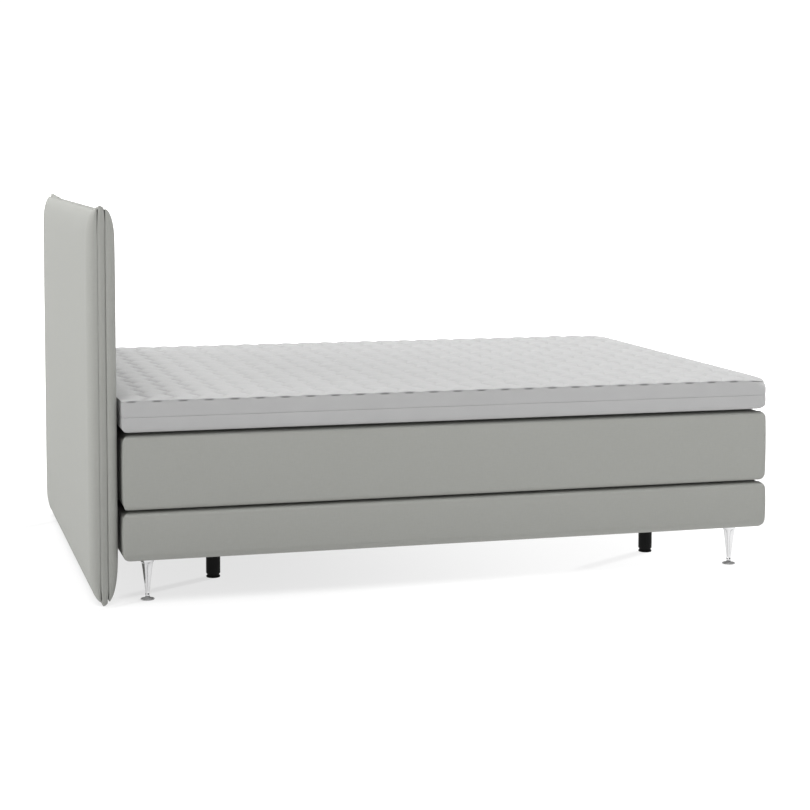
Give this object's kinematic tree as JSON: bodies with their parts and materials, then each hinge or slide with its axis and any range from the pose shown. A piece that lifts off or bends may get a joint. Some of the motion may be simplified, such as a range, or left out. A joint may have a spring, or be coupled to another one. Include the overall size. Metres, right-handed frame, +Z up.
{
  "type": "box spring bed",
  "caption": "Upholstered box spring bed: padded base on chrome legs, loose spring mattress, channel-quilted topper and a padded headboard down to the floor.",
  "frame": {"origin": "on the floor under the middle of the bed's overall box", "axes": "+Z up, +Y from the foot end towards the headboard, +X to the right as seen from the foot end"},
  "size_m": [1.45, 2.093, 1.135],
  "materials": {
    "grey_fabric": "matt woven upholstery, warm grey",
    "topper_knit": "matt light grey knit, quilted",
    "border_fabric": "matt grey knit",
    "zip_tape": "woven tape",
    "foam": "open-cell foam",
    "spring_pocket": "non-woven pockets round steel springs",
    "dust_cloth": "black non-woven cloth",
    "pine": "sawn softwood",
    "plywood": "raw board",
    "chrome": "polished",
    "steel": "zinc plated",
    "black_plastic": "matt black",
    "grey_plastic": "smooth dark grey"
  },
  "bodies": {
    "base": {"base_cover": "grey_fabric", "base_dust_cloth": "dust_cloth", "base_side_rail_left": "pine", "base_side_rail_right": "pine", "base_head_rail": "pine", "base_foot_rail": "pine", "base_beam_left": "pine", "base_beam_right": "pine", "base_slat_1": "pine", "base_slat_2": "pine", "base_slat_3": "pine", "base_slat_4": "pine", "base_slat_5": "pine", "base_slat_6": "pine", "base_spring_unit": "spring_pocket", "base_foam": "foam", "leg_block_head_left": "pine", "leg_block_head_right": "pine", "leg_block_foot_left": "pine", "leg_block_foot_right": "pine", "corner_leg_head_left": "chrome", "corner_leg_head_right": "chrome", "corner_leg_foot_left": "chrome", "corner_leg_foot_right": "chrome", "corner_glide_head_left": "grey_plastic", "corner_glide_head_right": "grey_plastic", "corner_glide_foot_left": "grey_plastic", "corner_glide_foot_right": "grey_plastic", "support_leg_head_left": "black_plastic", "support_leg_head_right": "black_plastic", "support_leg_foot_left": "black_plastic", "support_leg_foot_right": "black_plastic", "headboard_board": "plywood", "headboard_front_pad": "grey_fabric", "headboard_back_pad": "grey_fabric", "headboard_edge_band": "grey_fabric", "headboard_glide_left": "black_plastic", "headboard_glide_right": "black_plastic", "headboard_bracket_left": "steel", "headboard_bracket_right": "steel", "bracket_screw_left": "steel", "bracket_screw_right": "steel", "headboard_bolt_left": "steel", "headboard_bolt_right": "steel"},
    "mattress": {"mattress_cover": "grey_fabric", "mattress_underside": "dust_cloth", "mattress_edge_foam": "foam", "mattress_spring_core": "spring_pocket", "mattress_comfort_foam": "foam"},
    "topper": {"topper_lower_cover": "border_fabric", "topper_zip": "zip_tape", "topper_upper_border": "border_fabric", "topper_quilted_top": "topper_knit", "topper_foam_core": "foam"},
    "screw_foot_head_left": {"screw_foot_head_left": "black_plastic"},
    "screw_foot_head_right": {"screw_foot_head_right": "black_plastic"},
    "screw_foot_foot_left": {"screw_foot_foot_left": "black_plastic"},
    "screw_foot_foot_right": {"screw_foot_foot_right": "black_plastic"}
  },
  "joints": [
    {"name": "mattress_lift", "type": "slide", "parent": "base", "child": "mattress", "axis": [0, 0, 1], "range_m": [0, 0.35]},
    {"name": "topper_lift", "type": "slide", "parent": "mattress", "child": "topper", "axis": [0, 0, 1], "range_m": [0, 0.35]},
    {"name": "screw_foot_head_left_slide", "type": "slide", "parent": "base", "child": "screw_foot_head_left", "axis": [0, 0, -1], "range_m": [0, 0.015]},
    {"name": "screw_foot_head_right_slide", "type": "slide", "parent": "base", "child": "screw_foot_head_right", "axis": [0, 0, -1], "range_m": [0, 0.015]},
    {"name": "screw_foot_foot_left_slide", "type": "slide", "parent": "base", "child": "screw_foot_foot_left", "axis": [0, 0, -1], "range_m": [0, 0.015]},
    {"name": "screw_foot_foot_right_slide", "type": "slide", "parent": "base", "child": "screw_foot_foot_right", "axis": [0, 0, -1], "range_m": [0, 0.015]}
  ]
}
